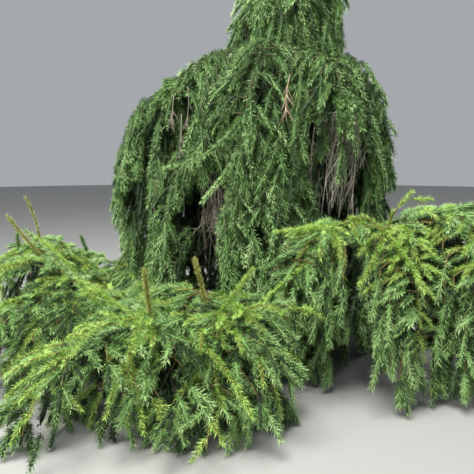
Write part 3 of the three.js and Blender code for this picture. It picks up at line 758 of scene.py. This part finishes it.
# each stem's heading, its height on the trunk and its points' headings, distances and rises; then the
# number of its strands, their fall and sideways reach, the share where they start, and their drift
DEAD = {
    "dead_twigs_left": (
        -48, 1.49, [(-30, 0.26, 0.12), (-40, 0.52, 0.1), (-46, 0.76, -0.02)], 64, 1.0, 0.19, 0.42, -0.01,
    ),
    "dead_twigs_right": (
        42, 1.69, [(42, 0.26, 0.28), (44, 0.6, 0.34), (45, 0.86, 0.23)], 44, 0.82, 0.15, 0.66, -0.14,
    ),
}
for index, (name, row) in enumerate(DEAD.items()):
    degrees, height, between, count, fall, reach, first, drift = row
    stream = number_stream(905 + 37 * index)
    out = heading(degrees)
    side = sideways(out)
    root = trunk_point(height)
    stem = bow([root, *(offset(root, *b) for b in between)])
    lines = [(spaced(stem, 9), *DEAD_STEM)]
    for i in range(count):
        start = stem(first + (0.99 - first) * i / count)
        wide = reach * (2 * next(stream) - 1)
        elbow = start + side * (wide * 0.8 + 0.15 * drift) + out * 0.08 * (next(stream) - 0.5)
        elbow -= UP * (0.1 + 0.2 * next(stream)) * fall
        spread = 0.7 + 0.9 * next(stream)
        tip = start + side * (wide * spread + drift * (0.4 + 0.9 * next(stream)))
        tip += out * 0.14 * (next(stream) - 0.5) - UP * fall * (0.4 + 0.6 * next(stream))
        tip.z = max(tip.z, 0.1)
        bend = side * 0.1 * (2 * next(stream) - 1)
        line = [start, (start + elbow) / 2 + UP * 0.02, elbow, (elbow + tip) / 2 + bend, tip]
        lines.append(([tuple(p) for p in line], *DEAD_STRAND))
        for _ in range(3):
            t = 0.3 + 0.5 * next(stream)
            knot = elbow.lerp(tip, t)
            stray = knot + side * 0.1 * (2 * next(stream) - 1) - UP * (0.06 + 0.14 * next(stream))
            stray.z = max(stray.z, 0.06)
            lines.append((spaced(lambda t: knot.lerp(stray, t), 5), *DEAD_STRAY))
    dead_lines[name] = lines
stream = number_stream(1401)
# the short strands: each one's group, place, upper and lower end, number of strays and their spread
for name, x, y, high, low, count, spread in [
    ("tuft", 0.15, -0.86, 2.2, 1.88, 16, 0.07), ("front", 0.31, -0.76, 1.86, 1.4, 4, 0.03),
    ("front", 0.35, -0.74, 1.84, 1.44, 4, 0.03), ("front", -0.6, -0.62, 2.15, 1.84, 5, 0.04),
    ("front", -0.71, -0.6, 2.09, 1.84, 7, 0.05), ("front", -0.65, -0.6, 1.95, 1.6, 6, 0.05),
]:
    top = Vector((x, y, high))
    foot = Vector((x - 0.02, y - 0.02, low))
    bend = Vector((0.03 * (2 * next(stream) - 1), 0, 0))
    hang = arch(top, (top + foot) / 2 + bend, foot)
    lines = dead_lines.setdefault(name, [])
    lines.append((spaced(hang, 7), *FRONT_STRAND))
    for _ in range(count):
        knot = hang(0.1 + 0.8 * next(stream))
        stray = knot + Vector((spread * (2 * next(stream) - 1), 0.04 * (next(stream) - 0.6), 0))
        stray.z -= spread + 0.06 * next(stream)
        lines.append((spaced(lambda t: knot.lerp(stray, t), 4), *FRONT_STRAY))

# The wood of all these: every twig is a slim tube, thickest where it leaves its stem and closed at its tip.
# The young wood is tan, the crown's is olive brown, and the dead wood is grey or, in one tuft, tan.
LOWEST = 0.004


def unit(vectors):
    return vectors / (np.linalg.norm(vectors, axis=-1, keepdims=True) + 1e-12)


def spokes(side, face, sides):
    """Directions all round each of a row of points, from a sideways and a facing direction at each."""
    turn = np.arange(sides) * 2 * math.pi / sides
    return side[:, None] * np.cos(turn)[None, :, None] + face[:, None] * np.sin(turn)[None, :, None]


def tubes(lines, sides):
    """Slim closed tubes along lines of points, as joined triangles."""
    points, corners, start = [], [], 0
    for line, thick, thin in lines:
        line = np.array(line)
        rings = len(line)
        ahead = unit(np.gradient(line, axis=0))
        side = unit(np.cross(ahead, ASLANT))
        face = np.cross(ahead, side)
        radius = np.linspace(thick, thin, rings)[:, None, None]
        shell = line[:, None] + spokes(side, face, sides) * radius
        ends = np.array([line[0] - ahead[0] * thick, line[-1] + ahead[-1] * thin * 3])
        skin = np.concatenate([shell.reshape(-1, 3), ends])
        skin[:, 2] = np.maximum(skin[:, 2], LOWEST)
        points.append(skin)
        here = np.arange(sides)
        after = (here + 1) % sides
        a = np.arange(rings - 1)[:, None] * sides + here[None]
        b = np.arange(rings - 1)[:, None] * sides + after[None]
        quads = np.stack([a, b, b + sides, a, b + sides, a + sides], -1).reshape(-1, 3)
        low = np.stack([after, here, np.full(sides, rings * sides)], -1)
        high = np.stack([here, after, np.full(sides, sides + 1)], -1) + (rings - 1) * sides
        corners.append(np.concatenate([quads, low, high]) + start)
        start += rings * sides + 2
    return np.concatenate(points), np.concatenate(corners)


def joined(name, points, corners, finish, smooth, slot, nodes=(), second=None, second_from=0):
    """One piece from arrays of points and triangles, the last of which may have a second finish."""
    mesh = bpy.data.meshes.new(name)
    mesh.vertices.add(len(points))
    mesh.vertices.foreach_set("co", points.astype(np.float32).ravel())
    mesh.loops.add(len(corners) * 3)
    mesh.loops.foreach_set("vertex_index", corners.astype(np.int32).ravel())
    mesh.polygons.add(len(corners))
    mesh.polygons.foreach_set("loop_start", np.arange(0, len(corners) * 3, 3, dtype=np.int32))
    mesh.update(calc_edges=True)
    mesh.materials.append(finish)
    if second:
        mesh.materials.append(second)
        finishes = (np.arange(len(corners)) >= second_from).astype(np.int32)
        mesh.polygons.foreach_set("material_index", finishes)
    if smooth:
        mesh.shade_smooth()
    piece = bpy.data.objects.new(name, mesh)
    bpy.context.scene.collection.objects.link(piece)
    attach(piece, "root")
    if nodes:
        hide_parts(*nodes)


wood = {
    name: bark(name, shade(*dark), shade(*middle), shade(*pale), grain)
    for name, dark, middle, pale, grain in [
        ("young_wood", (98, 84, 50), (138, 118, 70), (170, 148, 98), 160),
        ("crown_wood", (62, 60, 42), (90, 86, 60), (116, 112, 82), 160),
        ("left_dead_wood", (92, 84, 74), (146, 136, 122), (196, 186, 170), 130),
        ("right_dead_wood", (110, 104, 92), (162, 155, 140), (208, 202, 190), 130),
        ("tan_dead_wood", (128, 106, 86), (170, 148, 122), (200, 182, 156), 130),
    ]
}
for area in ("head", "roof", "upper", "lower", "arm", "sprawl"):
    names = [mass[0] for mass in masses if mass[1] == area]
    skin = wood["young_wood" if area in ("arm", "sprawl") else "crown_wood"]
    joined("twigs_" + area, *tubes(twigs[area], 3), skin, True, "bark", names)
for name, key, skin, nodes in [
    ("dead_wood_left", "dead_twigs_left", "left_dead_wood", ["dead_twigs_left"]),
    ("dead_wood_right", "dead_twigs_right", "right_dead_wood", ["dead_twigs_right"]),
    ("dead_wood_front", "front", "left_dead_wood", []),
    ("dead_wood_tuft", "tuft", "tan_dead_wood", []),
]:
    joined(name, *tubes(dead_lines[key], 4), wood[skin], True, "dead_twigs", nodes)

# The foxtail shoots: a green inside of close-set needle bases, darker than its needles as painted shade, or
# tan young wood in fresh and dry shoots, and flat needles all round it that lean towards the tip. Each tone
# is one finish, from the darkest green of painted shade to the yellow-green of growth, with larger patches
# that vary from spray to spray and specks as small as a needle.
PATCHES = 7.0
SPECKS = 130.0
SPECK_DEPTH = 0.006


def needle_green(name, dark, middle, pale, roughness):
    finish = Finish(name, roughness)
    patches = finish.cloudy(finish.place, PATCHES, 2.0)
    specks = finish.cloudy(finish.place, SPECKS, 2.0)
    finish.colours(patches * 0.45 + specks * 0.55, [(0.38, dark), (0.5, middle), (0.62, pale)])
    finish.relief(specks, SPECK_DEPTH)
    return finish.material


# the two darkest tones are painted shade and the light tone is painted light: darker and paler copies of
# the mid green. Fresh and dry are the yellow-green of new growth and a straw green.
GREENS = {
    tone: needle_green("needles_" + tone, shade(*dark), shade(*middle), shade(*pale), roughness)
    for tone, dark, middle, pale, roughness in [
        ("deep", (22, 40, 17), (34, 55, 24), (48, 73, 32), 0.64),
        ("shade", (46, 75, 35), (67, 99, 48), (92, 125, 70), 0.56),
        ("mid", (80, 118, 58), (114, 153, 82), (150, 186, 114), 0.5),
        ("light", (114, 151, 82), (150, 186, 114), (184, 214, 150), 0.48),
        ("fresh", (126, 166, 66), (162, 200, 92), (196, 226, 130), 0.48),
        ("dry", (136, 142, 72), (170, 174, 96), (200, 202, 126), 0.7),
    ]
}
# needles on a full shoot, needle length and width, radius of the inside, twist and lean of the needles
FOXTAIL = {
    "head": (114, 0.036, 0.0078, 0.017, 0.9, 54), "roof": (116, 0.037, 0.008, 0.017, 0.9, 54),
    "upper": (116, 0.037, 0.008, 0.017, 0.9, 54), "lower": (112, 0.037, 0.008, 0.017, 0.9, 54),
    "arm": (114, 0.035, 0.0076, 0.013, 0.9, 54), "sprawl": (110, 0.034, 0.0076, 0.013, 0.9, 56),
    "lead": (140, 0.032, 0.0075, 0.006, 1.57, 54), "thin": (120, 0.028, 0.0065, 0.004, 1.57, 54),
}
# each tone's inside: a darker green, painted shade, or the tan of young wood under fresh and dry shoots
INSIDE_SHADE_AND_WOOD = {
    "deep": GREENS["deep"], "shade": GREENS["deep"], "mid": GREENS["shade"], "light": GREENS["shade"],
    "fresh": wood["young_wood"], "dry": wood["young_wood"],
}
SLOTS = {
    "deep": "shaded_foliage", "shade": "shaded_foliage", "mid": "foliage", "light": "foliage",
    "fresh": "young_foliage", "dry": "dead_twigs",
}
FULL_LENGTH = 0.22
FEWEST_NEEDLES = 14
GOLDEN_ANGLE = 2.39996
# the share of each shoot, from its root, whose needles take the inside's darker finish as painted shade
SHADED_ROOT = 0.22
SIDES = 3


def needle_blades(data, sides, needles, needle, width, inside, twist, tilt, shaded_root, generator):
    """One flat triangle to each needle, those near the shoots' roots last, and the number of the others."""
    root, way, length, droop = data[:, 0:3], data[:, 3:6], data[:, 6], data[:, 7]
    side, face = sides
    down = np.array([0, 0, -1.0])
    own = np.maximum(FEWEST_NEEDLES, np.round(needles * np.minimum(1, length / FULL_LENGTH)))[:, None]
    number = np.arange(needles)[None]
    grows = number < own
    share = 0.02 + 0.98 * (number + 0.5) / own + generator.uniform(-0.01, 0.01, grows.shape)
    angle = number * GOLDEN_ANGLE + generator.uniform(0, 6.28, (len(data), 1))
    angle = angle + generator.uniform(-0.25, 0.25, grows.shape)
    run = (length[:, None] * share)[..., None]
    sag = (droop[:, None] * share)[..., None]
    centre = root[:, None] + way[:, None] * run + down * sag * run
    ahead = unit(way[:, None] + down * (2 * droop[:, None] * share)[..., None])
    out = side[:, None] * np.cos(angle)[..., None] + face[:, None] * np.sin(angle)[..., None]
    within = np.clip(share, 0, 1)
    # needles lean closer to the shoot at its tip, and are longest half way along it
    lean = np.radians(tilt - 20 * within**6 + generator.uniform(-10, 10, share.shape))[..., None]
    needle_way = ahead * np.cos(lean) + out * np.sin(lean)
    flat = unit(np.cross(needle_way, out))
    roll = generator.uniform(-twist, twist, share.shape)[..., None]
    across = flat * np.cos(roll) + np.cross(needle_way, flat) * np.sin(roll)
    size = needle * (0.8 + 0.22 * np.sin(math.pi * within**0.8))
    size = (size * generator.uniform(0.86, 1.14, share.shape))[..., None]
    base = centre + out * inside * 0.8
    corners = [base - across * width / 2, base + across * width / 2, base + needle_way * size]
    blades = np.stack(corners, 2)[grows]
    # needles near a shoot's root, in painted shade, go last and take its second finish
    root_shade = share[grows] < shaded_root
    return np.concatenate([blades[~root_shade], blades[root_shade]]).reshape(-1, 3), int((~root_shade).sum())


def shoot_insides(data, sides, inside):
    """A slim closed spindle along each shoot, as points and triangles."""
    root, way, length, droop = data[:, 0:3], data[:, 3:6], data[:, 6], data[:, 7]
    down = np.array([0, 0, -1.0])
    along = np.array([0.0, 0.2, 0.85, 1.0])
    line = root[:, None] + way[:, None] * (length[:, None] * along)[..., None]
    line = line + down * ((droop * length)[:, None] * along**2)[..., None]
    ring = spokes(*sides, SIDES)
    near = line[:, 1][:, None] + ring * inside
    beyond = line[:, 2][:, None] + ring * inside * 0.9
    body = np.concatenate([line[:, 0:1], near, beyond, line[:, 3:4]], 1)
    shell = []
    far, tip = SIDES + 1, 2 * SIDES + 1
    for k in range(SIDES):
        n = (k + 1) % SIDES
        shell += [
            (0, 1 + n, 1 + k), (1 + k, 1 + n, far + n), (1 + k, far + n, far + k), (far + k, far + n, tip),
        ]
    first = np.arange(len(data)) * (tip + 1)
    return body.reshape(-1, 3), (np.array(shell)[None] + first[:, None, None]).reshape(-1, 3)


def foxtails(data, needles, needle, width, inside, twist, tilt, shaded_root, generator):
    """Points and triangles of shoots, each given by its root, its way, its length and its droop."""
    way = data[:, 3:6]
    side = unit(np.cross(way, ASLANT))
    sides = side, np.cross(way, side)
    blades, bright = needle_blades(
        data, sides, needles, needle, width, inside, twist, tilt, shaded_root, generator,
    )
    body, body_corners = shoot_insides(data, sides, inside)
    points = np.concatenate([blades, body])
    points[:, 2] = np.maximum(points[:, 2], LOWEST)
    corners = np.concatenate([np.arange(len(blades)).reshape(-1, 3), body_corners + len(blades)])
    return points, corners, bright


for (area, tone), group in sorted(shoots.items()):
    needles, needle, width, inside, twist, tilt = FOXTAIL[area]
    if tone == "deep":
        needles, width, inside = needles // 3, width * 1.9, inside * 1.3
    core, shaded_root = INSIDE_SHADE_AND_WOOD[tone], SHADED_ROOT
    # on the arm and the sprawl the painted shade inside differs: a darker green in mid shoots, the mid
    # green in light ones
    if tone in ("mid", "light") and area in ("arm", "sprawl"):
        core = GREENS["deep" if tone == "mid" else "mid"]
    if core is wood["young_wood"]:
        inside, shaded_root = inside * 0.4, 0
    data = np.array(group)
    generator = np.random.default_rng(len(group) + 17 * needles)
    points, corners, bright = foxtails(
        data, needles, needle, width, inside, twist, tilt, shaded_root, generator,
    )
    joined(
        f"needles_{area}_{tone}", points, corners, GREENS[tone], False, SLOTS[tone],
        second=core, second_from=bright,
    )

# The floor, the light and the camera: a plain pale floor, the even light of an overcast sky with a soft
# main light from above on the left, and the photograph's own eye height and angle.
EYE = (-0.226, -4.6, 1.6)
DEGREES_DOWN = 8.6
# in the picture's pixels, and the film in millimetres
FOCAL_LENGTH = 508
PICTURE_WIDTH = 474
FILM_WIDTH = 36
floor_shape = bmesh.new()
bmesh.ops.create_circle(floor_shape, cap_ends=True, segments=96, radius=30)
floor_mesh = bpy.data.meshes.new("floor")
floor_shape.to_mesh(floor_mesh)
floor_shape.free()
floor = bpy.data.objects.new("floor", floor_mesh)
bpy.context.scene.collection.objects.link(floor)
pale = Finish("floor_pale", 0.9)
pale.shader.inputs["Base Color"].default_value = (*shade(160, 160, 157), 1)
floor_mesh.materials.append(pale.material)
floor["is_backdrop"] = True

world = bpy.data.worlds.new("studio")
world.use_nodes = True
backdrop = world.node_tree.nodes["Background"]
backdrop.inputs["Color"].default_value = (0.86, 0.9, 0.95, 1)
backdrop.inputs["Strength"].default_value = 0.44
bpy.context.scene.world = world


def soft_light(name, place, aim, size, power, colour):
    lamp = bpy.data.lights.new(name, "AREA")
    lamp.shape = "DISK"
    lamp.size = size
    lamp.energy = power
    lamp.color = colour
    holder = bpy.data.objects.new(name, lamp)
    holder.location = place
    holder.rotation_euler = (Vector(aim) - Vector(place)).to_track_quat("-Z", "Y").to_euler()
    bpy.context.scene.collection.objects.link(holder)


# each light's place, aim, size in metres, power in watts and colour
soft_light("sky_light", (-1.5, -3.5, 8.0), (0, -0.3, 1.2), 5.0, 1210, (1.0, 0.99, 0.96))
soft_light("side_light", (-6.0, -5.5, 3.5), (0, 0, 1.2), 4.0, 370, (1.0, 0.98, 0.95))
soft_light("back_light", (4.5, 6.0, 5.5), (0, 0, 1.2), 4.0, 260, (0.95, 0.98, 1.0))

lens = bpy.data.cameras.new("camera")
lens.sensor_width = FILM_WIDTH
lens.lens = FOCAL_LENGTH / PICTURE_WIDTH * FILM_WIDTH
viewer = bpy.data.objects.new("camera", lens)
viewer.location = EYE
viewer.rotation_euler = (math.radians(90 - DEGREES_DOWN), 0, 0)
bpy.context.scene.collection.objects.link(viewer)
bpy.context.scene.camera = viewer
bpy.context.scene.view_settings.view_transform = "Standard"

low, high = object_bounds()
